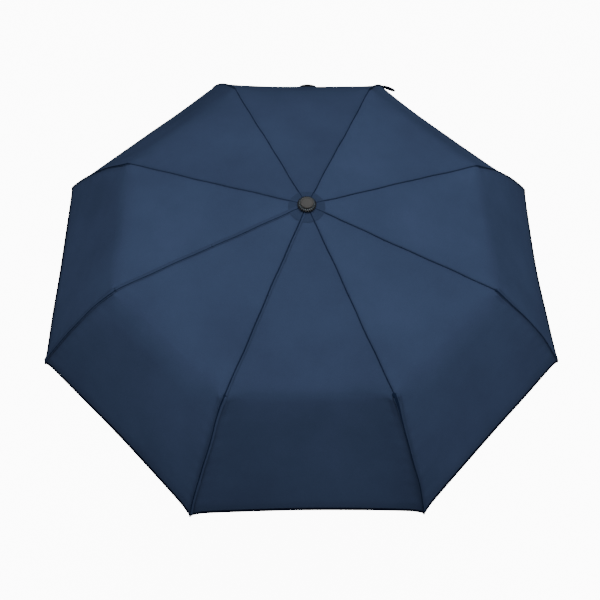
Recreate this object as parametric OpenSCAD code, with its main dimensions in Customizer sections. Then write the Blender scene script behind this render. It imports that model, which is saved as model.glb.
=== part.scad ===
// Folding umbrella: eight three-link ribs on a three-stage tube, with a cloth canopy.
// Z runs up the tube. The origin is the middle of the grip. Rib 1 points to -67.5 degrees.

/* [Canopy] */
// Radius of the circle through the rib tips
tip_r = 480; // [420:1:560]
// Height of the rib tips above the middle of the grip
tip_z = 340; // [280:1:400]
// Height of the cloth's apex above the rib tips
apex_rise = 207; // [150:1:260]
// Radius of the outer knees
knee_r = 332; // [280:1:400]
// Slope of the crown, in degrees below level
crown_slope = 9.8; // [6:0.1:16]
// Total bend of each outer rib along its length, in degrees
rib_bow = 20.4; // [0:0.1:30]
// Upright thickness of the cloth panels
cloth_t = 0.6; // [0.4:0.1:1.5]

/* [Ribs] */
// Length of an upper rib between its pivots
upper_len = 158; // [120:1:200]
// Distance along the upper rib to the stretcher's pivot
stretch_at = 88; // [60:1:120]
// Drop of the stretcher's pivot below the upper rib's line
stretch_drop = 2; // [0:0.1:4]
// Width of an upper rib
upper_w = 4.4; // [4:0.1:6]
// Width of a middle rib
middle_w = 3.2; // [2.8:0.1:4]
// Width of a stretcher
stretch_w = 3; // [2:0.1:4]
// Width of an outer rib
outer_w = 1.8; // [1.2:0.1:3]
// Thickness of the folded steel
steel_t = 0.5; // [0.4:0.1:1]

/* [Shaft] */
// Outer radius of the upper tube
tube_r = 6; // [5:0.1:8]
// Outer radius of the middle tube
mid_tube_r = 5; // [4:0.1:7]
// Outer radius of the lower tube
low_tube_r = 4; // [3:0.1:6]
// Radius of the ring on which the ribs pivot
ring_r = 9; // [8:0.1:12]
// Length of the runner below its ring
runner_len = 25; // [15:1:35]

/* [Handle] */
// Radius of the grip
grip_r = 14.5; // [12:0.1:20]
// Height of the grip above and below its middle
grip_half = 32; // [25:1:45]
// Radius of the grip's top collar
collar_r = 17; // [14:0.1:22]
// Radius of the push button
button_r = 4.2; // [3:0.1:6]

/* [Hidden] */
ribs = 8;
step = 360 / ribs;
half = step / 2;
chr = cos(half);
first_angle = -67.5;
fit_gap = 0.05;
hold_gap = 0.02;
big = 700;
seam_gap = 0.4;
// the cloth's line
apex_z = tip_z + apex_rise;
knee_z = apex_z - knee_r * tan(crown_slope);
chord = norm([tip_r - knee_r, knee_z - tip_z]);
chord_slope = atan2(knee_z - tip_z, tip_r - knee_r);
arc_r = chord / 2 / sin(rib_bow / 2);
root_slope = chord_slope - rib_bow / 2;
// the ribs' top faces run below the cloth
face_drop = 2.6;
line_drop = 2.2;
ear_rise = 1;
pin_r = 0.6;
eye_r = pin_r + fit_gap;
// pivots, as radius and height
ring_z = apex_z - ring_r * tan(crown_slope) - (face_drop + line_drop) / cos(crown_slope);
along = [cos(crown_slope), -sin(crown_slope)];
upward = [sin(crown_slope), cos(crown_slope)];
top_pivot = [ring_r, ring_z];
stretch_pivot = top_pivot + stretch_at * along - stretch_drop * upward;
runner_z = 2 * stretch_pivot[1] - ring_z;
inner_knee = top_pivot + upper_len * along + (line_drop + ear_rise) * upward;
outer_knee = [knee_r, knee_z] - (face_drop + line_drop) * upward;
middle_len = (outer_knee - inner_knee) * along;
stretch_len = norm(stretch_pivot - top_pivot);
stretch_tilt = asin((stretch_pivot[1] - runner_z) / stretch_len);
upper_h = 4;
middle_h = 3.4;
stretch_h = 2.2;
outer_h = 2;
upper_bottom = line_drop - upper_h;
// tubes
tube_bottom = 338.5;
overlap = 25;
mid_tube_top = tube_bottom + overlap;
mid_tube_bottom = 189;
low_tube_top = mid_tube_bottom + overlap;
low_tube_bottom = -24;
low_wall = 0.6;
notch_r = 11;
slot_w = 1.8;
slot_in = 7.2;
tongue_w = 1.6;
// cap
disc_slope = crown_slope;
disc_r = 30;
disc_z = apex_z + cloth_t + 0.1;
cap_z = disc_z + 0.5;
cap_ring_r = 15.5;
cap_ring_h = 3;
tube_top = cap_z + cap_ring_h - 0.1;
cap_disc_r = 11;
cap_disc_h = 3.2;
teeth = 24;
// handle
collar_h = 6;
end_h = 8;
eye_hole_r = 1.6;
button_z = 20;
button_y = -15.6;
button_back = -9.5;
pocket_r = 3.3;
button_travel = 2;
strap_w = 28;
strap_x = 19;
strap_l = 12;

function rib_angle(i) = first_angle + step * (i - 1);
// a point of the outer cloth line at share s, moved in by d
function slope_at(s) = root_slope + rib_bow * s;
function outer_pt(s, d) = [
    knee_r + arc_r * (sin(slope_at(s)) - sin(root_slope)) - d * sin(slope_at(s)),
    knee_z - arc_r * (cos(root_slope) - cos(slope_at(s))) - d * cos(slope_at(s))];

// the outer rib's own line starts at its pivot and nears the cloth at the tip; up is across it
function rib_pt(s, up) = outer_pt(s, 4.6 - 2 * s - up)
    + (1 - s) * (outer_knee - outer_pt(0, 4.6));

module at_rib(i) {
    rotate([0, 0, rib_angle(i)]) children();
}

module at_pivot(p, slope) {
    translate([p[0], 0, p[1]]) rotate([0, slope, 0]) children();
}

// a cylinder across the rib
module cross(r, w) {
    rotate([90, 0, 0]) cylinder(r = r, h = w, center = true, $fn = 32);
}

// a side profile in x and z, made w wide across the rib
module side(w) {
    rotate([90, 0, 0]) linear_extrude(height = w, center = true) children();
}

// two plates across the rib, outer width w
module ears(w) {
    difference() {
        side(w) children();
        side(w - 2 * steel_t) offset_square();
    }
}

module offset_square() {
    square([60, 60], center = true);
}

// a folded channel along x, open below
module channel(x0, x1, top, h, w) {
    difference() {
        translate([x0, -w / 2, top - h]) cube([x1 - x0, w, h]);
        translate([x0 - 1, -w / 2 + steel_t, top - h - 1])
            cube([x1 - x0 + 2, w - 2 * steel_t, h + 1 - steel_t]);
    }
}

module upper_rib() {
    color("silver") at_pivot(top_pivot, crown_slope) {
        difference() {
            union() {
                cross(1.6, tongue_w);
                translate([0, -tongue_w / 2, -1.6]) cube([14, tongue_w, 3.2]);
                channel(11, upper_len - 2, line_drop, upper_h, upper_w);
                translate([11, -upper_w / 2, -1.6]) cube([3, upper_w, 3.2]);
            }
            cross(pin_r, 3);
        }
        translate([stretch_at, 0, 0]) {
            ears(upper_w) translate([-3, -3.4]) square([6, 4.4]);
            translate([0, 0, -stretch_drop]) cross(pin_r, upper_w);
        }
        translate([upper_len, 0, line_drop + ear_rise]) {
            ears(upper_w) ear_shape(-1);
            cross(pin_r, upper_w);
        }
    }
}

// the plate that carries a knee's pin; way is 1 outward, -1 inward
module ear_shape(way) {
    circle(r = 1.4, $fn = 32);
    translate([way > 0 ? 0 : -6, -3]) square([6, 3.5]);
}

module stretcher() {
    color("silver") translate([stretch_pivot[0], 0, stretch_pivot[1]])
        rotate([0, 180 - stretch_tilt, 0]) difference() {
            union() {
                cross(1.4, stretch_w);
                translate([0, -stretch_w / 2, -stretch_h / 2])
                    cube([stretch_len - 4.5, stretch_w, stretch_h]);
                translate([stretch_len - 8, -tongue_w / 2, -stretch_h / 2])
                    cube([8, tongue_w, stretch_h]);
                translate([stretch_len, 0, 0]) cross(1.4, tongue_w);
            }
            cross(eye_r, stretch_w + 1);
            translate([stretch_len, 0, 0]) cross(pin_r, 3);
            translate([4, -stretch_w / 2 + steel_t, -stretch_h])
                cube([stretch_len - 14, stretch_w - 2 * steel_t, stretch_h * 1.5 - steel_t]);
        }
}

module middle_rib() {
    color("silver") at_pivot(inner_knee, crown_slope) {
        channel(2, middle_len + 1.2, -ear_rise, middle_h, middle_w);
        difference() {
            ears(middle_w) ear_shape(1);
            cross(eye_r, middle_w + 1);
        }
        translate([middle_len, 0, -ear_rise - line_drop]) cross(pin_r, middle_w);
    }
}

module outer_rib() {
    n = 8;
    top = [for (k = [0:n]) rib_pt(k / n, outer_h / 2)];
    low = [for (k = [n:-1:0]) rib_pt(k / n, -outer_h / 2)];
    tip_dir = [cos(slope_at(1)), -sin(slope_at(1))];
    tip = rib_pt(1, 0);
    bead = tip + 4 * tip_dir;
    color("dimgray") {
        difference() {
            union() {
                side(outer_w) polygon(concat(top, low));
                translate([outer_knee[0], 0, outer_knee[1]]) cross(1.1, outer_w);
            }
            translate([outer_knee[0], 0, outer_knee[1]]) cross(eye_r, outer_w + 1);
        }
        translate([tip[0], 0, tip[1]]) rotate([0, 90 + slope_at(1), 0])
            translate([0, 0, -5]) cylinder(r = 1.25, h = 9, $fn = 32);
        translate([bead[0], 0, bead[1]]) sphere(r = 1.9, $fn = 32);
    }
}

// a band of cloth across one panel, in the panel's own frame
module panel(pts, reach) {
    top = [for (k = [len(pts) - 1:-1:0]) pts[k] + [0, cloth_t]];
    intersection() {
        side(big) polygon(concat(pts, top));
        translate([seam_gap, 0, 0]) linear_extrude(height = big * 2)
            polygon(reach);
    }
}

module whole_panel(pts) {
    panel(pts, [[0, 0], [big, -big * tan(half)], [big, big * tan(half)]]);
}

module half_panel(pts, way) {
    panel(pts, [[0.4, way * 0.15], [big, way * 0.15], [big, way * big * tan(half)]]);
}

module canopy_crown() {
    pts = [[7.2, apex_z - 7.2 / chr * tan(crown_slope)],
        [knee_r * chr - 0.3, knee_z + 0.3 / chr * tan(crown_slope)]];
    color("midnightblue") for (i = [1:ribs])
        rotate([0, 0, rib_angle(i) + half]) whole_panel(pts);
}

module skirt() {
    n = 3;
    raw = [for (k = [0:n]) outer_pt(k / n, 0)];
    pts = [for (k = [0:n]) [raw[k][0] * chr + (k == 0 ? 0.3 : 0), raw[k][1]]];
    color("midnightblue") {
        rotate([0, 0, half]) half_panel(pts, -1);
        rotate([0, 0, -half]) half_panel(pts, 1);
    }
}

module closure_strap() {
    color("black") translate([strap_x - strap_w / 2, tip_r * chr + 0.3, tip_z + 0.6])
        cube([strap_w, strap_l, 1.4]);
}

// the slotted crown of the notch and of the runner, ring at z 0
module ring_head(low, high) {
    difference() {
        translate([0, 0, low]) cylinder(r = notch_r, h = high - low, $fn = 64);
        for (i = [1:ribs]) at_rib(i)
            translate([slot_in, -slot_w / 2, low - 1]) cube([10, slot_w, high - low + 2]);
    }
    rotate_extrude($fn = 64) translate([ring_r, 0]) circle(r = pin_r - 0.1, $fn = 24);
}

module notch() {
    color("black") translate([0, 0, ring_z]) difference() {
        ring_head(-2.4, 2.6);
        translate([0, 0, -20]) cylinder(r = tube_r + hold_gap, h = 40, $fn = 64);
    }
}

module runner() {
    color("black") translate([0, 0, runner_z]) difference() {
        union() {
            ring_head(-2.6, 2.4);
            translate([0, 0, -runner_len]) cylinder(r = 8.2, h = runner_len - 2, $fn = 64);
            translate([0, 0, -runner_len]) cylinder(r = 10.5, h = 4, $fn = 64);
            translate([0, 0, -9]) cylinder(r = 9.6, h = 2.5, $fn = 64);
        }
        translate([0, 0, -60]) cylinder(r = tube_r + fit_gap, h = 120, $fn = 64);
    }
}

module tube(z0, z1, r, bore) {
    difference() {
        translate([0, 0, z0]) cylinder(r = r, h = z1 - z0, $fn = 64);
        translate([0, 0, z0 - 1]) cylinder(r = bore, h = z1 - z0 + 2, $fn = 64);
    }
}

module upper_tube() {
    color("dimgray") tube(tube_bottom, tube_top, tube_r, mid_tube_r + fit_gap);
}

module middle_tube() {
    color("silver") tube(mid_tube_bottom, mid_tube_top, mid_tube_r, low_tube_r + fit_gap);
}

module lower_tube() {
    color("silver") tube(low_tube_bottom, low_tube_top, low_tube_r, low_tube_r - low_wall);
}

module top_patch() {
    color("midnightblue") rotate_extrude($fn = 96) polygon([
        [tube_r + 0.3, disc_z - (tube_r + 0.3) * tan(disc_slope)],
        [disc_r, disc_z - disc_r * tan(disc_slope)],
        [disc_r, disc_z - disc_r * tan(disc_slope) + 0.4],
        [tube_r + 0.3, disc_z - (tube_r + 0.3) * tan(disc_slope) + 0.4]]);
}

module cap_ring() {
    color("black") difference() {
        rotate_extrude($fn = 96) polygon([[tube_r + 0.1, cap_z],
            [cap_ring_r - 1, cap_z], [cap_ring_r, cap_z + 0.8],
            [cap_ring_r, cap_z + 1.8], [cap_disc_r + 1, cap_z + cap_ring_h],
            [tube_r + 0.1, cap_z + cap_ring_h]]);
        for (k = [1:teeth]) rotate([0, 0, k * 360 / teeth])
            translate([cap_ring_r - 1.6, -0.9, cap_z - 1]) cube([3, 1.8, cap_ring_h + 2]);
    }
}

module cap_disc() {
    color("dimgray") translate([0, 0, cap_z + cap_ring_h + 0.05]) {
        rotate_extrude($fn = 96) polygon([[0, 0], [cap_disc_r - 0.6, 0],
            [cap_disc_r, 0.6], [cap_disc_r, cap_disc_h - 0.9],
            [cap_disc_r - 0.9, cap_disc_h], [cap_disc_r - 2, cap_disc_h],
            [cap_disc_r - 2.6, cap_disc_h - 0.6], [0, cap_disc_h - 0.4]]);
        translate([0, 0, -16]) cylinder(r = mid_tube_r - 0.05, h = 16.2, $fn = 64);
    }
}

module grip() {
    color("black") difference() {
        union() {
            translate([0, 0, -grip_half]) cylinder(r = grip_r, h = 2 * grip_half, $fn = 96);
            translate([0, 0, grip_half - 22]) rotate_extrude($fn = 96) polygon([[0, 0],
                [grip_r, 0], [collar_r, 6], [collar_r, 22 + collar_h - 2],
                [collar_r - 2, 22 + collar_h], [0, 22 + collar_h]]);
        }
        translate([0, 0, low_tube_bottom]) cylinder(r = low_tube_r + hold_gap, h = 90, $fn = 64);
        translate([0, 0, button_z]) {
            rotate([90, 0, 0]) cylinder(r = button_r + 0.1, h = 40, $fn = 64);
        }
        for (k = [0:2]) translate([0, 0, -27 + k * 5]) rotate_extrude($fn = 96)
            translate([grip_r + 0.4, 0]) circle(r = 1.1, $fn = 24);
    }
}

module end_cap() {
    color("black") translate([0, 0, -grip_half - end_h]) difference() {
        rotate_extrude($fn = 96) polygon([[0, 0], [grip_r - 3, 0], [grip_r - 0.6, 2.2],
            [grip_r - 0.2, end_h - 0.05], [0, end_h - 0.05]]);
        translate([0, 0, end_h / 2]) rotate([0, 90, 0])
            cylinder(r = eye_hole_r, h = 40, center = true, $fn = 48);
    }
}

module button() {
    color("dimgray") difference() {
        translate([0, 0, button_z]) rotate([90, 0, 0]) translate([0, 0, -button_back])
            rotate_extrude($fn = 64) polygon([[0, 0], [button_r, 0],
                [button_r, button_back - button_y + 1.5],
                [button_r - 0.8, button_back - button_y + 2.3],
                [0, button_back - button_y + 2.3]]);
        translate([0, button_back + 0.01, button_z]) rotate([90, 0, 0])
            cylinder(r = pocket_r, h = 3, $fn = 48);
    }
}

module button_spring() {
    color("silver") for (k = [0:4])
        translate([0, -low_tube_r - 0.7 - k * 1.6, button_z]) rotate([90, 0, 0])
            rotate_extrude($fn = 48) translate([2.4, 0]) circle(r = 0.35, $fn = 16);
}

module upper_rib_n(i) {
    at_rib(i) upper_rib();
}

module stretcher_n(i) {
    at_rib(i) stretcher();
}

module middle_rib_n(i) {
    at_rib(i) middle_rib();
}

module outer_rib_n(i) {
    at_rib(i) outer_rib();
}

module skirt_n(i) {
    at_rib(i) skirt();
}

grip();
end_cap();
button();
button_spring();
lower_tube();
middle_tube();
upper_tube();
notch();
runner();
top_patch();
cap_ring();
cap_disc();
closure_strap();
canopy_crown();
upper_rib_n(1);  // upper_rib_1
upper_rib_n(2);  // upper_rib_2
upper_rib_n(3);  // upper_rib_3
upper_rib_n(4);  // upper_rib_4
upper_rib_n(5);  // upper_rib_5
upper_rib_n(6);  // upper_rib_6
upper_rib_n(7);  // upper_rib_7
upper_rib_n(8);  // upper_rib_8
stretcher_n(1);  // stretcher_1
stretcher_n(2);  // stretcher_2
stretcher_n(3);  // stretcher_3
stretcher_n(4);  // stretcher_4
stretcher_n(5);  // stretcher_5
stretcher_n(6);  // stretcher_6
stretcher_n(7);  // stretcher_7
stretcher_n(8);  // stretcher_8
middle_rib_n(1);  // middle_rib_1
middle_rib_n(2);  // middle_rib_2
middle_rib_n(3);  // middle_rib_3
middle_rib_n(4);  // middle_rib_4
middle_rib_n(5);  // middle_rib_5
middle_rib_n(6);  // middle_rib_6
middle_rib_n(7);  // middle_rib_7
middle_rib_n(8);  // middle_rib_8
outer_rib_n(1);  // outer_rib_1
outer_rib_n(2);  // outer_rib_2
outer_rib_n(3);  // outer_rib_3
outer_rib_n(4);  // outer_rib_4
outer_rib_n(5);  // outer_rib_5
outer_rib_n(6);  // outer_rib_6
outer_rib_n(7);  // outer_rib_7
outer_rib_n(8);  // outer_rib_8
skirt_n(1);  // canopy_skirt_1
skirt_n(2);  // canopy_skirt_2
skirt_n(3);  // canopy_skirt_3
skirt_n(4);  // canopy_skirt_4
skirt_n(5);  // canopy_skirt_5
skirt_n(6);  // canopy_skirt_6
skirt_n(7);  // canopy_skirt_7
skirt_n(8);  // canopy_skirt_8
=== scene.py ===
import math

import bmesh
import bpy
import numpy as np
from mathutils import Matrix, Vector


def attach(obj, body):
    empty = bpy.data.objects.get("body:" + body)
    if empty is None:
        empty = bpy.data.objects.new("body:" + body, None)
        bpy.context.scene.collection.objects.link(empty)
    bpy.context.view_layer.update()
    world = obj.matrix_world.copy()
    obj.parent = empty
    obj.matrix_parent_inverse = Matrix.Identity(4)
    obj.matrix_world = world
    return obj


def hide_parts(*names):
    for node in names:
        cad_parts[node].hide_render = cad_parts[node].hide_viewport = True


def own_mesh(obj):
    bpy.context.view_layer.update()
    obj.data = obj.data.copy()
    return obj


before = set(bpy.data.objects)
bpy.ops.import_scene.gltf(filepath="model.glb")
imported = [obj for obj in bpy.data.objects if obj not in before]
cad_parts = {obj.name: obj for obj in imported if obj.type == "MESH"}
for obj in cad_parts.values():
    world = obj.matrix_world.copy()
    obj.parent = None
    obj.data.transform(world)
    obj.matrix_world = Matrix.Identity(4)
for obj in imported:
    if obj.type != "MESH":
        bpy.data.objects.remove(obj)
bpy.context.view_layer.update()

# ---------------------------------------------------------------- sizes, as in the CAD, in metres
TIP_R, TIP_Z, APEX_Z = 0.480, 0.340, 0.547
KNEE_R, SLOPE, BOW = 0.332, math.radians(9.8), math.radians(20.4)
UPPER_END_R = 0.1655
HALF = math.radians(22.5)
KNEE_Z = APEX_Z - KNEE_R * math.tan(SLOPE)
CHORD = math.hypot(TIP_R - KNEE_R, KNEE_Z - TIP_Z)
ROOT = math.atan2(KNEE_Z - TIP_Z, TIP_R - KNEE_R) - BOW / 2
ARC_R = CHORD / 2 / math.sin(BOW / 2)
CROWN_L = KNEE_R / math.cos(SLOPE)
SKIRT_L = ARC_R * BOW
INNER_L = 0.0075 / math.cos(SLOPE)
MIDDLE_L = UPPER_END_R / math.cos(SLOPE)
CLOTH_T = 0.00035
RIBS = range(1, 9)
SIDES = ((-1, "right"), (1, "left"))


def rib_angle(i):
    return math.radians(-67.5 + 45 * (i - 1))


def panel_of(i, side):
    """The panel on this side of rib i. Panel k is between ribs k and k + 1."""
    return i if side > 0 else (i + 6) % 8 + 1


def spin(angle):
    return np.array(Matrix.Rotation(angle, 3, "Z"))


# ---------------------------------------------------------------- the cloth's surface
def seam_line(length):
    """Radius and height on the cloth's seam, by length from the knee: less than 0 on the crown."""
    crown = np.minimum(length, 0)
    skirt = np.clip(length, 0, None)
    turn = ROOT + skirt / ARC_R
    r = KNEE_R + crown * math.cos(SLOPE) + ARC_R * (np.sin(turn) - math.sin(ROOT))
    z = KNEE_Z - crown * math.sin(SLOPE) - ARC_R * (math.cos(ROOT) - np.cos(turn))
    return r, z


def crease_line(length, past):
    """The seam line with its corner moved this far past the knee, and drawn back by the hem."""
    r, z = seam_line(length)
    at_r, at_z = seam_line(past)
    fade = np.clip((SKIRT_L - length) / (SKIRT_L - past), 0, 1) ** 1.5
    on_crown = length < past
    r = np.where(on_crown, KNEE_R + length * math.cos(SLOPE),
                 r + (KNEE_R + past * math.cos(SLOPE) - at_r) * fade)
    z = np.where(on_crown, KNEE_Z - length * math.sin(SLOPE),
                 z + (KNEE_Z - past * math.sin(SLOPE) - at_z) * fade)
    return r, z


def rounded(length, reach, past):
    """The crease line with its corner rounded over reach to each side."""
    total_r, total_z = 0, 0
    steps = np.linspace(-1, 1, 17)
    for step in steps:
        r, z = crease_line(length + step * reach, past)
        total_r, total_z = total_r + r, total_z + z
    return total_r / len(steps), total_z / len(steps)


def smooth(x):
    x = np.clip(x, 0, 1)
    return x * x * (3 - 2 * x)


# how much each seam puckers below its knee, and how far its corner there is rounded
# PUCKER also sets how much painted shade lies in each seam's gathers
PUCKER = {1: 1.0, 2: 0.75, 3: 0.3, 4: 0.4, 5: 0.35, 6: 0.3, 7: 0.5, 8: 0.65}
KNEE_ROUND = {1: 0.003, 2: 0.005, 3: 0.005, 4: 0.006, 5: 0.006, 6: 0.006, 7: 0.014, 8: 0.006}
# how far each panel's crease is rounded at the panel's middle, and how far past the knees it
# lies there
CREASE = {1: (0.030, 0.010), 2: (0.022, 0), 3: (0.026, 0), 4: (0.022, 0), 5: (0.026, 0),
          6: (0.022, 0), 7: (0.036, 0.012), 8: (0.014, 0)}
# painted shade: how much darker each panel's cloth is, and how much more its skirt is
PANEL_SHADE = {1: 0.02, 2: 0, 3: 0.03, 4: 0.15, 5: 0.11, 6: 0.02, 7: 0.04, 8: 0.08}
SKIRT_SHADE = {8: 0.08}
# painted shade: how much darker the back panels get out to the crease, and stay from there on
BACK_SHADE = {3: 0.09, 4: 0.07, 5: 0.07}
# painted shade: how much darker the cloth is beside each seam on the skirt than on the crown
SEAM_SHADE = {1: 0.22, 2: 0.14, 3: 0.10, 4: 0.10, 5: 0.10, 6: 0.10, 7: 0.14, 8: 0.24}
# how far the crown curves down before the crease
CROWN_BEND = {1: 0.002, 2: 0.001, 3: 0.001, 4: 0.002, 5: 0.002, 6: 0.001, 7: 0.001, 8: 0.0055}
# how far the middle of each panel's hem is drawn in, or bowed out where less than 0
HEM_IN = {1: 0.0008, 2: 0.0062, 3: 0.0020, 4: -0.0055, 5: 0.0004, 6: 0.0010, 7: 0.0042, 8: 0.0058}
# how far the cloth sags between the ribs, and how far the hem rises beside the tips
CROWN_SAG, SKIRT_SAG, HEM_RISE = 0.0035, 0.0065, 0.0038


def cloth_point(i, side, length, across, lift=0.0):
    """A point of rib i's half panel, lift above the cloth, in the row frame.

    length is as in seam_line, and across is 0 at the seam and 1 at the panel's middle.
    """
    length, across = np.broadcast_arrays(np.asarray(length, float), np.asarray(across, float))
    panel = panel_of(i, side)
    bulge = smooth(across)
    taut = across * (2 - across)
    # the hem rises close to the tips, where the cloth's corners are held by small pockets
    down = np.clip(length, 0, None) / SKIRT_L
    rise = HEM_RISE * (1 - np.exp(-(across / 0.06) ** 1.5))
    at = np.where(length > 0, length - down ** 3 * rise, length)
    share = smooth(across / 0.4)
    reach = KNEE_ROUND[i] + (CREASE[panel][0] - KNEE_ROUND[i]) * share
    past = CREASE[panel][1] * share
    r, z = rounded(at, reach, past)
    wide = r * math.tan(HALF)
    c2 = math.cos(HALF) ** 2
    x = r * (1 - across * (1 - c2))
    y = side * across * r * math.cos(HALF) * math.sin(HALF)
    # out of the cloth: up on the crown, outward on the skirt
    tilt = ROOT + np.clip(at, 0, None) / ARC_R
    tilt = SLOPE + (tilt - SLOPE) * smooth((at - past + reach) / (2 * reach))
    sag = -CROWN_SAG * bulge * np.sin(math.pi * np.clip(1 + at / CROWN_L, 0, 1))
    sag = sag - SKIRT_SAG * (bulge + taut) / 2 * np.sin(math.pi * np.clip(down, 0, 1))
    sag = sag - HEM_IN[panel] * taut * smooth(down)
    sag = sag - CROWN_BEND[panel] * smooth(across / 0.3) * np.clip(1 + at / 0.075, 0, 1) ** 2 \
        * smooth(1.4 - down * 1.4)
    near = across * wide
    ripple = 0.00035 * np.sin(at * 2 * math.pi / 0.021 + 1.7 * i + 0.6 * side)
    ripple = ripple + 0.00025 * np.sin(at * 2 * math.pi / 0.047 + 0.9 * i)
    ripple = ripple * np.exp(-near / 0.014) * smooth((near - 0.004) / 0.006)
    # below the knee the loose cloth gathers into a fold on each side of the seam
    gather = PUCKER[i] * smooth(at / 0.008) * np.exp(-np.clip(at - 0.008, 0, None) / 0.022)
    pull = 0.0030 * gather * np.exp(-((near - 0.0075) / 0.0035) ** 2)
    pull = pull - 0.0008 * gather * np.exp(-((near - 0.003) / 0.002) ** 2)
    broad = 0.0010 * np.sin(at * 24 + i * 1.3) * np.sin(across * math.pi) ** 2
    broad = broad * smooth(1 + at / 0.25)
    out = sag + ripple + pull + broad + lift
    facing = HALF * across
    x = x + out * np.sin(tilt) * np.cos(facing)
    y = y + out * np.sin(tilt) * np.sin(facing) * side
    p = np.stack([x, y, z + out * np.cos(tilt)], -1)
    return p @ spin(rib_angle(i)).T


def fold_shade(i, panel, length, near):
    """Painted shade, as a share of the colour: gathers, hem, seam, back panel and panel."""
    gather = smooth((length + 0.002) / 0.010) * np.exp(-np.clip(length - 0.010, 0, None) / 0.030)
    gather = 0.42 * PUCKER[i] * gather * np.exp(-(near / (0.004 + 0.004 * PUCKER[i])) ** 2)
    hem = 0.16 * smooth((length - SKIRT_L + 0.022) / 0.020)
    seam = (0.07 + SEAM_SHADE[i] * smooth(length / 0.02)) * np.exp(-(near / 0.007) ** 2)
    back = BACK_SHADE.get(panel, 0) * smooth(1 + (length - 0.01) / 0.11)
    panel_shade = PANEL_SHADE[panel] + SKIRT_SHADE.get(panel, 0) * smooth((length + 0.03) / 0.04)
    return 1 - (1 - gather) * (1 - hem) * (1 - seam) * (1 - back) * (1 - panel_shade)


def cloth_normal(i, side, length, across):
    e = 2e-4
    along = cloth_point(i, side, length + e, across) - cloth_point(i, side, length - e, across)
    lo, hi = np.clip(across - 0.004, 0, 1), np.clip(across + 0.004, 0, 1)
    over = cloth_point(i, side, length, hi) - cloth_point(i, side, length, lo)
    n = np.cross(along, over) * side
    return n / np.linalg.norm(n, axis=-1, keepdims=True)


# ---------------------------------------------------------------- mesh helpers
def new_mesh(name, verts, faces, material, uvs=None, loop_normals=None, shade=None):
    mesh = bpy.data.meshes.new(name)
    mesh.from_pydata([tuple(map(float, v)) for v in verts], [], [tuple(map(int, f)) for f in faces])
    mesh.update()
    if uvs is not None:
        layer = mesh.uv_layers.new(name="cloth")
        at = np.empty(len(mesh.loops), int)
        mesh.loops.foreach_get("vertex_index", at)
        layer.data.foreach_set("uv", np.asarray(uvs, np.float32)[at].ravel())
    if shade is not None:
        mesh.attributes.new("shade", "FLOAT", "POINT").data.foreach_set(
            "value", np.asarray(shade, np.float32))
    mesh.polygons.foreach_set("use_smooth", [True] * len(mesh.polygons))
    if loop_normals is not None:
        mesh.normals_split_custom_set([tuple(map(float, n)) for n in loop_normals])
    obj = bpy.data.objects.new(name, mesh)
    bpy.context.scene.collection.objects.link(obj)
    obj.data.materials.append(material)
    return obj


def shell(name, top, normals, uv, thick, material, shade=None):
    """A closed thin shell from a grid of points and their normals."""
    rows, cols = top.shape[:2]
    low = top - normals * thick
    verts = np.concatenate([top.reshape(-1, 3), low.reshape(-1, 3)])
    n = rows * cols
    a = np.arange(rows - 1)[:, None] * cols + np.arange(cols - 1)[None, :]
    quad = np.stack([a, a + cols, a + cols + 1, a + 1], -1).reshape(-1, 4)
    p = verts[quad[:, :3]]
    face_n = np.cross(p[:, 1] - p[:, 0], p[:, 2] - p[:, 0])
    if (face_n * normals.reshape(-1, 3)[quad[:, 0]]).sum() < 0:
        quad = quad[:, ::-1]
    flip = quad[:, ::-1] + n
    first_row, last_row = np.arange(cols), (rows - 1) * cols + np.arange(cols)
    first_col, last_col = np.arange(rows) * cols, np.arange(rows) * cols + cols - 1
    border = np.concatenate([first_row, last_col[1:], last_row[::-1][1:], first_col[::-1][1:-1]])
    nxt = np.roll(border, -1)
    used = {(int(q[k]), int(q[(k + 1) % 4])) for q in quad for k in range(4)}
    if (int(border[0]), int(nxt[0])) in used:
        wall = np.stack([nxt, border, border + n, nxt + n], -1)
    else:
        wall = np.stack([border, nxt, nxt + n, border + n], -1)
    faces = np.concatenate([quad, flip, wall])
    flat = normals.reshape(-1, 3)
    loops = [flat[quad.ravel()], -flat[flip.ravel() - n]]
    w = verts[wall]
    wn = np.cross(w[:, 1] - w[:, 0], w[:, 3] - w[:, 0])
    wn /= np.maximum(np.linalg.norm(wn, axis=1, keepdims=True), 1e-12)
    loops.append(np.repeat(wn, 4, axis=0))
    uvs = np.concatenate([uv.reshape(-1, 2)] * 2)
    if shade is not None:
        shade = np.concatenate([shade.ravel(), np.zeros(shade.size)])
    return new_mesh(name, verts, faces, material, uvs, np.concatenate(loops), shade)


def tube_faces(rows, k):
    """The faces of a closed tube of rows rings with k points each."""
    faces = [(r * k + c, r * k + (c + 1) % k, (r + 1) * k + (c + 1) % k, (r + 1) * k + c)
             for r in range(rows - 1) for c in range(k)]
    return faces + [tuple(range(k))[::-1], tuple((rows - 1) * k + c for c in range(k))]


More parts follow.
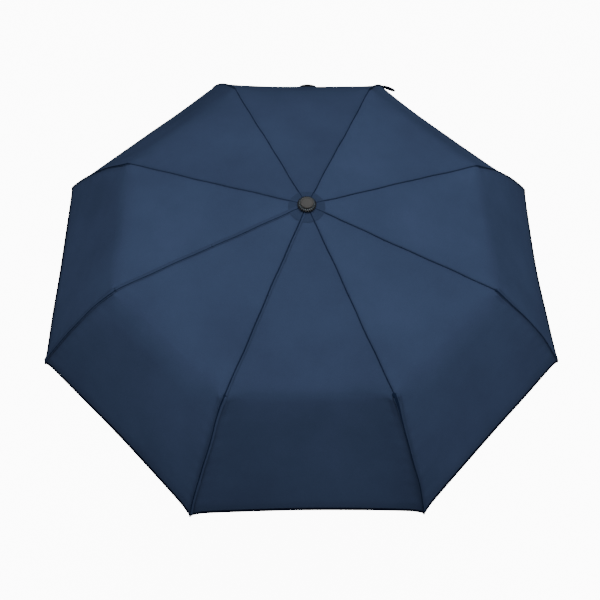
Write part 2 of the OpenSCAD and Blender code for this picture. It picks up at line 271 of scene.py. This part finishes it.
def sweep(name, path, ring, material, ups):
    """A solid with one cross-section carried along a path. ring is in (across, up)."""
    path, ups = np.asarray(path, float), np.asarray(ups, float)
    tangent = np.gradient(path, axis=0)
    tangent /= np.linalg.norm(tangent, axis=1, keepdims=True)
    right = np.cross(tangent, ups)
    right /= np.linalg.norm(right, axis=1, keepdims=True)
    up = np.cross(right, tangent)
    ring = np.asarray(ring, float)
    if ring.ndim == 2:
        ring = np.repeat(ring[None], len(path), axis=0)
    verts = path[:, None] + right[:, None] * ring[..., :1] + up[:, None] * ring[..., 1:]
    size = np.concatenate([[0], np.cumsum(np.linalg.norm(np.diff(path, axis=0), axis=1))])
    around = np.concatenate(
        [[0], np.cumsum(np.linalg.norm(np.diff(ring[0], axis=0), axis=1))])
    uvs = np.stack(np.broadcast_arrays(size[:, None], around[None]), -1).reshape(-1, 2)
    obj = new_mesh(name, verts.reshape(-1, 3), tube_faces(*verts.shape[:2]), material, uvs)
    fix_normals(obj)
    return obj


def fix_normals(obj):
    bm = bmesh.new()
    bm.from_mesh(obj.data)
    bmesh.ops.recalc_face_normals(bm, faces=bm.faces)
    bm.to_mesh(obj.data)
    bm.free()


def lathe(name, profile, material, place, steps=28):
    """A solid turned about local Z from (radius, height) pairs, whose ends are on the axis."""
    verts, faces = [], []
    inner = profile[1:-1]
    for r, z in inner:
        for k in range(steps):
            a = 2 * math.pi * k / steps
            verts.append((r * math.cos(a), r * math.sin(a), z))
    for row in range(len(inner) - 1):
        for k in range(steps):
            n = (k + 1) % steps
            faces.append((row * steps + k, row * steps + n, (row + 1) * steps + n,
                          (row + 1) * steps + k))
    low, high = len(verts), len(verts) + 1
    verts += [(0, 0, profile[0][1]), (0, 0, profile[-1][1])]
    last = (len(inner) - 1) * steps
    for k in range(steps):
        n = (k + 1) % steps
        faces += [(low, n, k), (high, last + k, last + n)]
    verts = [tuple(place @ Vector(v)) for v in verts]
    obj = new_mesh(name, verts, faces, material)
    fix_normals(obj)
    return obj


# ---------------------------------------------------------------- materials
def node_material(name, color, roughness, **sockets):
    mat = bpy.data.materials.new(name)
    mat.use_nodes = True
    tree = mat.node_tree
    shader = tree.nodes["Principled BSDF"]
    shader.inputs["Base Color"].default_value = (*color, 1)
    shader.inputs["Roughness"].default_value = roughness
    for key, value in sockets.items():
        shader.inputs[key.replace("_", " ")].default_value = value
    return mat, tree, shader


def node(tree, kind, links=(), **values):
    made = tree.nodes.new(kind)
    for key, value in values.items():
        if key in made.inputs:
            made.inputs[key].default_value = value
        else:
            setattr(made, key, value)
    for socket, source in links:
        tree.links.new(source, made.inputs[socket])
    return made


def ramp(tree, source, low, high, at=(0.3, 0.7)):
    made = node(tree, "ShaderNodeValToRGB", [("Fac", source)])
    made.color_ramp.elements[0].position, made.color_ramp.elements[1].position = at
    made.color_ramp.elements[0].color = (*low, 1)
    made.color_ramp.elements[1].color = (*high, 1)
    return made.outputs["Color"]


def cloth_material(name, color, weave=0.00045, strength=0.35):
    """Matt woven cloth. The attribute "shade" is painted shade: how much darker it is at a point.
    """
    low, high = tuple(c * 0.88 for c in color), tuple(c * 1.12 for c in color)
    mat, tree, shader = node_material(name, color, 0.62, Specular_IOR_Level=0.0)
    coord = node(tree, "ShaderNodeTexCoord")
    cloud = node(tree, "ShaderNodeTexNoise", [("Vector", coord.outputs["Object"])],
                 Scale=7.0, Detail=4.0, Roughness=0.55)
    fine = node(tree, "ShaderNodeTexNoise", [("Vector", coord.outputs["Object"])],
                Scale=900.0, Detail=2.0)
    both = node(tree, "ShaderNodeMath", [(0, cloud.outputs["Fac"])], operation="MULTIPLY_ADD")
    both.inputs[1].default_value = 0.6
    share = node(tree, "ShaderNodeMath", [(0, fine.outputs["Fac"])], operation="MULTIPLY")
    share.inputs[1].default_value = 0.4
    tree.links.new(share.outputs[0], both.inputs[2])
    # the painted shade darkens the base colour
    mask = node(tree, "ShaderNodeAttribute", attribute_name="shade")
    left = node(tree, "ShaderNodeMath", [(1, mask.outputs["Fac"])], operation="SUBTRACT")
    left.inputs[0].default_value = 1.0
    dim = node(tree, "ShaderNodeVectorMath", [
        (0, ramp(tree, both.outputs[0], low, high, (0.36, 0.64))), ("Scale", left.outputs[0])],
        operation="SCALE")
    tree.links.new(dim.outputs[0], shader.inputs["Base Color"])
    uv = node(tree, "ShaderNodeUVMap", uv_map="cloth")
    warp = node(tree, "ShaderNodeTexWave", [("Vector", uv.outputs["UV"])],
                Scale=1 / weave / 6.2832 * 2, bands_direction="X")
    weft = node(tree, "ShaderNodeTexWave", [("Vector", uv.outputs["UV"])],
                Scale=1 / weave / 6.2832 * 2, bands_direction="Y")
    cross = node(tree, "ShaderNodeMath", [(0, warp.outputs["Fac"]), (1, weft.outputs["Fac"])],
                 operation="MULTIPLY")
    bump = node(tree, "ShaderNodeBump", [("Height", cross.outputs[0])], Strength=strength,
                Distance=0.00006)
    soft = node(tree, "ShaderNodeTexNoise", [("Vector", coord.outputs["Object"])],
                Scale=38.0, Detail=3.0)
    bump2 = node(tree, "ShaderNodeBump", [("Height", soft.outputs["Fac"]),
                                          ("Normal", bump.outputs["Normal"])],
                 Strength=0.25, Distance=0.0012)
    tree.links.new(bump2.outputs["Normal"], shader.inputs["Normal"])
    rough = node(tree, "ShaderNodeMapRange", [("Value", cloud.outputs["Fac"])])
    rough.inputs["To Min"].default_value, rough.inputs["To Max"].default_value = 0.62, 0.76
    tree.links.new(rough.outputs["Result"], shader.inputs["Roughness"])
    return mat


def plastic_material(name, color, roughness, grain=0.25, scale=1400.0):
    mat, tree, shader = node_material(name, color, roughness, Specular_IOR_Level=0.3)
    coord = node(tree, "ShaderNodeTexCoord")
    noise = node(tree, "ShaderNodeTexNoise", [("Vector", coord.outputs["Object"])],
                 Scale=scale, Detail=2.0)
    bump = node(tree, "ShaderNodeBump", [("Height", noise.outputs["Fac"])], Strength=grain,
                Distance=0.00015)
    tree.links.new(bump.outputs["Normal"], shader.inputs["Normal"])
    cloud = node(tree, "ShaderNodeTexNoise", [("Vector", coord.outputs["Object"])],
                 Scale=60.0, Detail=3.0)
    low, high = tuple(c * 0.88 for c in color), tuple(c * 1.14 for c in color)
    tree.links.new(ramp(tree, cloud.outputs["Fac"], low, high), shader.inputs["Base Color"])
    rough = node(tree, "ShaderNodeMapRange", [("Value", cloud.outputs["Fac"])])
    rough.inputs["To Min"].default_value = roughness - 0.06
    rough.inputs["To Max"].default_value = roughness + 0.08
    tree.links.new(rough.outputs["Result"], shader.inputs["Roughness"])
    return mat


def toothed_ring_material(name, teeth=24):
    """Black plastic with painted glints: bright specks on its face between the cap and the teeth.
    """
    mat, tree, shader = node_material(name, (0.004, 0.005, 0.007), 0.55, Specular_IOR_Level=0.2)
    coord = node(tree, "ShaderNodeTexCoord")
    flat = node(tree, "ShaderNodeVectorMath", [(0, coord.outputs["Object"])], operation="MULTIPLY")
    flat.inputs[1].default_value = (1, 1, 0)
    radius = node(tree, "ShaderNodeVectorMath", [(0, flat.outputs[0])], operation="LENGTH")
    part = node(tree, "ShaderNodeSeparateXYZ", [("Vector", coord.outputs["Object"])])
    angle = node(tree, "ShaderNodeMath", [(0, part.outputs["Y"]), (1, part.outputs["X"])],
                 operation="ARCTAN2")
    wave = node(tree, "ShaderNodeMath", [(0, angle.outputs[0])], operation="MULTIPLY")
    wave.inputs[1].default_value = teeth
    wave = node(tree, "ShaderNodeMath", [(0, wave.outputs[0])], operation="SINE")
    bright = ramp(tree, wave.outputs[0], (0.006, 0.008, 0.010), (0.055, 0.072, 0.082), (0.2, 0.8))
    band = node(tree, "ShaderNodeMapRange", [("Value", radius.outputs["Value"])])
    band.inputs["From Min"].default_value = 0.0138
    band.inputs["From Max"].default_value = 0.0130
    painted_glints = node(tree, "ShaderNodeVectorMath", [(0, bright), ("Scale", band.outputs["Result"])],
                operation="SCALE")
    dark = node(tree, "ShaderNodeVectorMath", [(0, painted_glints.outputs[0])], operation="ADD")
    dark.inputs[1].default_value = (0.004, 0.005, 0.007)
    tree.links.new(dark.outputs[0], shader.inputs["Base Color"])
    return mat


def metal_material(name, color, roughness, metallic=1.0):
    mat, tree, shader = node_material(name, color, roughness, Metallic=metallic)
    coord = node(tree, "ShaderNodeTexCoord")
    place = node(tree, "ShaderNodeMapping", [("Vector", coord.outputs["Object"])])
    place.inputs["Scale"].default_value = (1.0, 1.0, 0.06)
    noise = node(tree, "ShaderNodeTexNoise", [("Vector", place.outputs["Vector"])],
                 Scale=900.0, Detail=3.0)
    rough = node(tree, "ShaderNodeMapRange", [("Value", noise.outputs["Fac"])])
    rough.inputs["To Min"].default_value = roughness - 0.08
    rough.inputs["To Max"].default_value = roughness + 0.12
    tree.links.new(rough.outputs["Result"], shader.inputs["Roughness"])
    low, high = tuple(c * 0.86 for c in color), tuple(min(c * 1.1, 1) for c in color)
    tree.links.new(ramp(tree, noise.outputs["Fac"], low, high), shader.inputs["Base Color"])
    bump = node(tree, "ShaderNodeBump", [("Height", noise.outputs["Fac"])], Strength=0.12,
                Distance=0.0001)
    tree.links.new(bump.outputs["Normal"], shader.inputs["Normal"])
    return mat


NAVY = (0.0334, 0.0500, 0.0985)
cloth = cloth_material("navy_cloth", NAVY)
patch_cloth = cloth_material("patch_cloth", tuple(c * 0.72 for c in NAVY))
band_cloth = cloth_material("band_cloth", tuple(c * 0.80 for c in NAVY))
seam_cloth = cloth_material("seam_cloth", (0.0080, 0.0140, 0.0340), strength=0.6)
# the hem's near-black colour is painted shadow under its rolled lip
hem_cloth_and_shadow = cloth_material("hem_cloth_and_shadow", (0.0035, 0.0045, 0.0110), strength=0.6)
strap_cloth = cloth_material("strap_tape", (0.008, 0.008, 0.009), weave=0.0012, strength=0.8)
black_plastic = plastic_material("black_plastic", (0.016, 0.016, 0.017), 0.38)
grip_plastic = plastic_material("grip_plastic", (0.020, 0.020, 0.021), 0.55, 0.6, 700.0)
cap_plastic = plastic_material("cap_plastic", (0.040, 0.040, 0.039), 0.62)
ring_plastic = toothed_ring_material("ring_plastic")
button_plastic = plastic_material("button_plastic", (0.06, 0.06, 0.065), 0.3)
tip_plastic = plastic_material("tip_plastic", (0.50, 0.50, 0.50), 0.35)
steel = metal_material("rib_steel", (0.55, 0.56, 0.58), 0.34)
bright = metal_material("bright_steel", (0.75, 0.75, 0.77), 0.2)
black_steel = metal_material("black_steel", (0.03, 0.03, 0.032), 0.35, metallic=0.0)
fibre = plastic_material("glass_fibre", (0.045, 0.046, 0.05), 0.4, 0.3, 500.0)

CAD_LOOKS = {"grip": grip_plastic, "end_cap": grip_plastic, "button": button_plastic,
             "lower_tube": bright, "middle_tube": bright, "upper_tube": black_steel,
             "notch": black_plastic, "runner": black_plastic, "cap_ring": ring_plastic,
             "cap_disc": cap_plastic}
for i in RIBS:
    CAD_LOOKS[f"upper_rib_{i}"] = steel
    CAD_LOOKS[f"stretcher_{i}"] = steel
    CAD_LOOKS[f"middle_rib_{i}"] = steel
    CAD_LOOKS[f"outer_rib_{i}"] = fibre
for name, mat in CAD_LOOKS.items():
    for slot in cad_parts[name].material_slots:
        slot.material = mat

# ---------------------------------------------------------------- the canopy
ACROSS = np.concatenate([[0, 0.006, 0.014, 0.026, 0.042, 0.064, 0.095], np.linspace(0.14, 1, 13)])
SECTIONS = {
    "upper": ("upper_rib", np.linspace(-CROWN_L + INNER_L, -CROWN_L + MIDDLE_L, 40)),
    "middle": ("middle_rib", np.concatenate([
        np.linspace(-CROWN_L + MIDDLE_L, -0.030, 34)[:-1], np.linspace(-0.030, 0, 14)])),
    "outer": ("outer_rib", np.concatenate([
        np.linspace(0, 0.030, 14)[:-1], np.linspace(0.030, SKIRT_L, 46)])),
}


def fold_with_rib(piece, i, side, section):
    """The piece rides on its rib."""
    family, lengths = SECTIONS[section]
    ends = cloth_point(i, side, np.array([lengths[0], lengths[-1]]), np.zeros(2))
    far = cloth_point(i, side, lengths[-1], 1.0)
    along = (ends[1] - ends[0]) / np.linalg.norm(ends[1] - ends[0])
    over = far - ends[1]
    over = over - along * (over @ along)
    over /= np.linalg.norm(over)
    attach(piece, f"{family}_{i}")
    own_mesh(piece)


for i in RIBS:
    for side, word in SIDES:
        panel = panel_of(i, side)
        for section, (family, lengths) in SECTIONS.items():
            length, across = np.meshgrid(lengths, ACROSS, indexing="ij")
            top = cloth_point(i, side, length, across)
            normal = cloth_normal(i, side, length, across)
            wide = seam_line(length)[0] * math.tan(HALF) * across
            uv = np.stack([length, wide], -1)
            # each piece carries its painted shade as the attribute shade
            piece = shell(f"cloth_{section}_{i}_{word}", top, normal, uv, CLOTH_T, cloth,
                          fold_shade(i, panel, length, wide))
            fold_with_rib(piece, i, side, section)
            if section == "outer":
                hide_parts(f"canopy_skirt_{i}")
            else:
                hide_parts("canopy_crown")

# the felled seams: a flat folded band with a narrow stitched ridge, with a piece of each for
# each rib link
# widths of each band and each ridge, and how much the ridge widens below the knee
BAND = {1: 0.0040, 2: 0.0044, 3: 0.0036, 4: 0.0036, 5: 0.0040, 6: 0.0050, 7: 0.0085, 8: 0.0060}
RIDGE = {1: 0.0019, 2: 0.0018, 3: 0.0017, 4: 0.0018, 5: 0.0016, 6: 0.0014, 7: 0.0016, 8: 0.0021}
# the widening below the knee, of the band 2.4 times over, is partly pucker and partly painted shade
PUCKER_AND_SHADE_WIDTH = {1: 0.0040, 2: 0.0016, 3: 0.0018, 4: 0.0026, 5: 0.0016, 6: 0.0020, 7: 0.0006, 8: 0.0010}
# how high the ridges stand, and which stand higher on the skirt
RIDGE_HIGH = 0.0013
SKIRT_RIDGE_HIGH = {3: 0.0022, 4: 0.0032, 5: 0.0018, 6: 0.0022}
SEAM_ROWS = 70
BAND_RING = np.array([(-0.30, 0.0), (-0.26, 0.45), (0.0, 0.62), (0.4, 0.55), (0.66, 0.45),
                      (0.70, 0.0), (0.4, -0.4), (0.0, -0.5)])
RIDGE_RING = np.array([(-0.5, 0.0), (-0.42, 0.45), (-0.16, 0.8), (0.12, 0.84), (0.38, 0.5),
                       (0.5, 0.0), (0.0, -0.4)])
for i in RIBS:
    lean = 1 if i in (5, 6, 7) else -1
    for section, (family, lengths) in SECTIONS.items():
        lengths = np.linspace(lengths[0], lengths[-1], SEAM_ROWS)
        path = cloth_point(i, 1, lengths, 0.0)
        ups = cloth_normal(i, 1, lengths, 0.0) + cloth_normal(i, -1, lengths, 0.0)
        ridge_high = SKIRT_RIDGE_HIGH.get(i, RIDGE_HIGH) if section == "outer" else RIDGE_HIGH
        ends = smooth((lengths + CROWN_L) / 0.05) * smooth((SKIRT_L - lengths) / 0.012)
        sway = 0.0004 * np.sin(lengths * 31 + i * 2.1) + 0.0003 * np.sin(lengths * 83 + i)
        sway = sway + 0.0007 * np.sin(lengths * 43 + i * 1.3) * smooth(lengths / 0.02)
        turn = np.array([-math.sin(rib_angle(i)), math.cos(rib_angle(i)), 0])
        path = path + (sway * ends)[:, None] * turn
        gather = smooth((lengths + 0.004) / 0.010)
        gather = gather * np.exp(-np.clip(lengths - 0.006, 0, None) / 0.024)
        for word, wide, ring, high, mat in (
                ("band", BAND[i] + 2.4 * PUCKER_AND_SHADE_WIDTH[i] * gather, BAND_RING, 0.0008, band_cloth),
                ("seam", RIDGE[i] + PUCKER_AND_SHADE_WIDTH[i] * gather, RIDGE_RING, ridge_high, seam_cloth)):
            size = np.stack([wide[:, None] * ring[None, :, 0] * lean,
                             high * np.repeat(ring[None, :, 1], SEAM_ROWS, 0)], -1)
            piece = sweep(f"{word}_{section}_{i}", path, size, mat, ups)
            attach(piece, f"{family}_{i}")

# a bar tack holds the cloth to the rib at each knee
TACK = {1: 1.0, 2: 0.7, 3: 0.5, 4: 0.6, 5: 0.5, 6: 0.5, 7: 0.45, 8: 0.6}
TACK_ROWS = 15
for i in RIBS:
    size = TACK[i]
    lengths = np.linspace(-0.0040 * size, 0.0042 * size, TACK_ROWS)
    path = cloth_point(i, 1, lengths, 0.0)
    ups = cloth_normal(i, 1, lengths, 0.0) + cloth_normal(i, -1, lengths, 0.0)
    turns = np.linspace(0, 2 * math.pi, 13)[:-1]
    puff = np.sqrt(np.clip(1 - np.linspace(-0.98, 0.98, TACK_ROWS) ** 4, 0, 1))
    thread = 1 + 0.06 * np.cos(np.arange(TACK_ROWS) * math.pi)
    ring = np.stack([np.cos(turns) * 0.0032 * size, np.sin(turns) * 0.0011], -1)
    size = ring[None] * (puff * thread)[:, None, None]
    piece = sweep(f"knee_tack_{i}", path, size, seam_cloth, ups)
    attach(piece, f"middle_rib_{i}")

# the hem: a folded band under the edge with a rolled lip, near black as painted shadow under the
# lip
for i in RIBS:
    for side, word in SIDES:
        across = np.concatenate([np.linspace(0, 0.1, 12)[:-1], np.linspace(0.1, 1, 34)])
        edge = cloth_point(i, side, SKIRT_L, across)
        ups = cloth_normal(i, side, np.full(len(across), SKIRT_L), across)
        inside = cloth_point(i, side, SKIRT_L - 0.008, across) - edge
        inside /= np.linalg.norm(inside, axis=1, keepdims=True)
        panel = panel_of(i, side)
        face = 0.0046 if panel in (2, 6) else 0.0032
        ring = np.array([(-0.0017, 0.0), (-0.0012, 0.0009), (0.0004, 0.0013), (face * 0.8, 0.0010),
                         (face, 0.0001), (0.0020, -0.0005), (0.0095, -0.0005), (0.0095, -0.0011),
                         (0.0006, -0.0014), (-0.0012, -0.0011)])
        verts = edge[:, None] + inside[:, None] * ring[None, :, :1]
        verts = verts + ups[:, None] * ring[None, :, 1:]
        uv = np.stack(np.broadcast_arrays(
            (across * TIP_R * math.sin(HALF))[:, None], np.arange(len(ring))[None] * 0.002), -1)
        piece = new_mesh(f"hem_{i}_{word}", verts.reshape(-1, 3), tube_faces(*verts.shape[:2]),
                         hem_cloth_and_shadow, uv.reshape(-1, 2))
        fix_normals(piece)
        fold_with_rib(piece, i, side, "outer")

# the loose end of the seam's tape, which stands out at the back right corner
path, ups = [], []
aside = np.array([0.0, -1.0, 0.0])
for length, out, away, drop in ((0.150, 0.0012, 0.0, 0.0), (0.160, 0.0020, 0.0008, 0.0),
                                (0.168, 0.0026, 0.0040, -0.0002), (0.169, 0.0028, 0.0090, -0.0006),
                                (0.169, 0.0028, 0.0150, -0.0012), (0.169, 0.0028, 0.0215, -0.0022),
                                (0.169, 0.0028, 0.0265, -0.0028)):
    turn = ROOT + length / ARC_R
    r, z = seam_line(np.array([length]))
    normal = np.array([math.sin(turn), 0, math.cos(turn)])
    path.append(np.array([r[0], 0, z[0] + drop]) + normal * out + aside * away)
    ups.append(normal)
wide = np.array([0.0014, 0.0026, 0.0037, 0.0042, 0.0042, 0.0036, 0.0012])
ring = np.array([(math.cos(a), 0.9 * math.sin(a)) for a in np.linspace(0, 2 * math.pi, 13)[:-1]])
turned = spin(rib_angle(4)).T
piece = sweep("seam_end_4", np.array(path) @ turned, wide[:, None, None] * ring[None], hem_cloth_and_shadow,
              np.array(ups) @ turned)
fold_with_rib(piece, 4, -1, "outer")

# rib tips: a moulded socket with a ball
for i in RIBS:
    turn = ROOT + BOW
    drop = 0.0026
    r, z = seam_line(np.array([SKIRT_L]))
    base = np.array([r[0] - drop * math.sin(turn), 0, z[0] - drop * math.cos(turn)])
    base = base @ spin(rib_angle(i)).T
    place = (Matrix.Translation(Vector(base)) @ Matrix.Rotation(rib_angle(i), 4, "Z")
             @ Matrix.Rotation(math.pi / 2 + turn, 4, "Y"))
    profile = [(0, -0.0062), (0.0011, -0.0062), (0.0014, -0.0058), (0.0014, 0.0012),
               (0.0012, 0.0018), (0.0014, 0.0026), (0.00185, 0.0033), (0.00205, 0.0041),
               (0.00185, 0.0050), (0.0013, 0.0057), (0.0006, 0.0060), (0, 0.00605)]
    piece = lathe(f"tip_{i}", profile, tip_plastic, place)
    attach(piece, f"outer_rib_{i}")

# the round patch under the cap, sewn to the eight gores
for i in RIBS:
    for side, word in SIDES:
        lengths = np.linspace(-CROWN_L + 0.0092, -CROWN_L + 0.0310, 12)
        across = np.linspace(0, 1, 10)
        length, across = np.meshgrid(lengths, across, indexing="ij")
        # the edge is a circle round the axis, to which a panel's middle is nearer than its seams
        angle = np.arctan2(across * math.cos(HALF) * math.sin(HALF),
                           1 - across * math.sin(HALF) ** 2)
        length = -CROWN_L + (length + CROWN_L) * np.cos(HALF - angle) / math.cos(HALF)
        top = cloth_point(i, side, length, across, 0.0007)
        normal = cloth_normal(i, side, length, across)
        uv = np.stack([length, (length + CROWN_L) * across * math.tan(HALF)], -1)
        piece = shell(f"patch_{i}_{word}", top, normal, uv, 0.0005, patch_cloth)
        fold_with_rib(piece, i, side, "upper")
        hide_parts("top_patch")

# ---------------------------------------------------------------- closure strap on the back hem
STRAP_X, STRAP_HALF = 0.019, 0.0175
verts, faces = [], []
hem_y, hem_z = cloth_point(4, 1, SKIRT_L, 0.9)[1:]
path = [(-0.0030, -0.0016), (-0.0006, -0.0014), (0.0025, 0.0), (0.0058, 0.0002), (0.0088, -0.0006),
        (0.0104, -0.0020)]
width = [-STRAP_HALF, -0.0160, -0.0125, -0.007, 0.0, 0.007, 0.0125, 0.0160, STRAP_HALF]
for lift in (0.0007, -0.0007):
    for y, z in path:
        for x in width:
            thinner = 0.55 if abs(x) == STRAP_HALF else 1
            bow = math.sqrt(math.cos(x / STRAP_HALF * 1.45))
            verts.append((x + STRAP_X, hem_y + y * bow, hem_z + z * bow + lift * thinner))
rows, cols = len(path), len(width)
for r in range(rows - 1):
    for c in range(cols - 1):
        q = (r * cols + c, r * cols + c + 1, (r + 1) * cols + c + 1, (r + 1) * cols + c)
        faces += [q, tuple(x + rows * cols for x in q[::-1])]
border = ([(0, c) for c in range(cols)] + [(r, cols - 1) for r in range(1, rows)]
          + [(rows - 1, c) for c in range(cols - 2, -1, -1)]
          + [(r, 0) for r in range(rows - 2, 0, -1)])
for a, b in zip(border, border[1:] + border[:1]):
    p, q = a[0] * cols + a[1], b[0] * cols + b[1]
    faces.append((p, q, q + rows * cols, p + rows * cols))
strap = new_mesh("closure_tape", verts, faces, strap_cloth, [(v[0], v[1]) for v in verts])
fix_normals(strap)
fold_with_rib(strap, 4, 1, "outer")
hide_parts("closure_strap")

# ---------------------------------------------------------------- the button's coil spring
steps = 150
t = np.linspace(0, 1, steps)
coil_a = t * 2 * math.pi * 5.5
centre = np.stack([0.0024 * np.cos(coil_a), -0.0047 - 0.0064 * t,
                   0.020 + 0.0024 * np.sin(coil_a)], -1)
ring = [(0.00033 * math.cos(a), 0.00033 * math.sin(a)) for a in np.linspace(0, 2 * math.pi, 9)[:-1]]
coil = sweep("button_coil", centre, ring, bright, np.tile([0.0, 1.0, 0.0], (steps, 1)))
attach(coil, "handle")
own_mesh(coil)
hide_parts("button_spring")

# ---------------------------------------------------------------- floor, light and camera
floor_mat, tree, shader = node_material("pale_floor", (0.92, 0.92, 0.92), 0.9)
coord = node(tree, "ShaderNodeTexCoord")
noise = node(tree, "ShaderNodeTexNoise", [("Vector", coord.outputs["Object"])], Scale=0.4)
tree.links.new(ramp(tree, noise.outputs["Fac"], (0.91, 0.91, 0.91), (0.93, 0.93, 0.93)),
               shader.inputs["Base Color"])
shader.inputs["Emission Color"].default_value = (1, 1, 1, 1)
shader.inputs["Emission Strength"].default_value = 11.0
FLOOR_Z = -1.4
floor = new_mesh("floor", [(-20, -20, FLOOR_Z), (20, -20, FLOOR_Z), (20, 20, FLOOR_Z),
                           (-20, 20, FLOOR_Z)], [(0, 1, 2, 3)], floor_mat)
WALL_R, WALL_SIDES = 19, 64
round_wall = [(WALL_R * math.cos(a), WALL_R * math.sin(a))
              for a in np.linspace(0, 2 * math.pi, WALL_SIDES + 1)[:-1]]
wall = new_mesh(
    "backdrop",
    [(x * s, y * s, z) for s, z in ((1, FLOOR_Z), (1, 12), (0.001, 18)) for x, y in round_wall],
    [(r * WALL_SIDES + c, r * WALL_SIDES + (c + 1) % WALL_SIDES,
      (r + 1) * WALL_SIDES + (c + 1) % WALL_SIDES, (r + 1) * WALL_SIDES + c)
     for r in range(2) for c in range(WALL_SIDES)], floor_mat)
for piece in (floor, wall):
    piece.visible_diffuse = piece.visible_glossy = False

world = bpy.data.worlds.new("studio")
bpy.context.scene.world = world
world.use_nodes = True
world.node_tree.nodes["Background"].inputs["Color"].default_value = (1, 1, 1, 1)
world.node_tree.nodes["Background"].inputs["Strength"].default_value = 0.30


def area_light(name, place, aim, size, power):
    data = bpy.data.lights.new(name, "AREA")
    data.shape, data.size, data.energy = "SQUARE", size, power
    obj = bpy.data.objects.new(name, data)
    obj.location = place
    obj.rotation_euler = (Vector(aim) - Vector(place)).to_track_quat("-Z", "Y").to_euler()
    obj.visible_camera = False
    bpy.context.scene.collection.objects.link(obj)
    return obj


area_light("overhead", (0.20, 0.20, 4.0), (0, 0, 0.4), 2.0, 148)
area_light("below", (0, 0, -1.2), (0, 0, 0.4), 1.3, 40)

# the camera, found from the canopy's corners: aim, distance and roll about the tips' plane
ELEVATION, ROLL, YAW = math.radians(59.3), math.radians(3.76), math.radians(4.29)
DISTANCE, FOCAL = 3.106 * TIP_R, 808.6
forward = Vector((0, math.cos(ELEVATION), -math.sin(ELEVATION)))
up = Vector((0, math.sin(ELEVATION), math.cos(ELEVATION)))
right = Vector((1, 0, 0))
cam_right = math.cos(ROLL) * right + math.sin(ROLL) * up
cam_up = -math.sin(ROLL) * right + math.cos(ROLL) * up
turn = Matrix.Rotation(-YAW, 3, "Z")
axes = Matrix((turn @ cam_right, turn @ cam_up, turn @ -forward)).transposed()
camera = bpy.data.objects.new("camera", bpy.data.cameras.new("camera"))
camera.matrix_world = Matrix.Translation(turn @ (-DISTANCE * forward) + Vector((0, 0, TIP_Z))) \
    @ axes.to_4x4()
camera.data.sensor_width = 36
camera.data.lens = FOCAL / 600 * 36
camera.data.shift_x, camera.data.shift_y = -0.0043, -0.0503
bpy.context.scene.collection.objects.link(camera)
bpy.context.scene.camera = camera
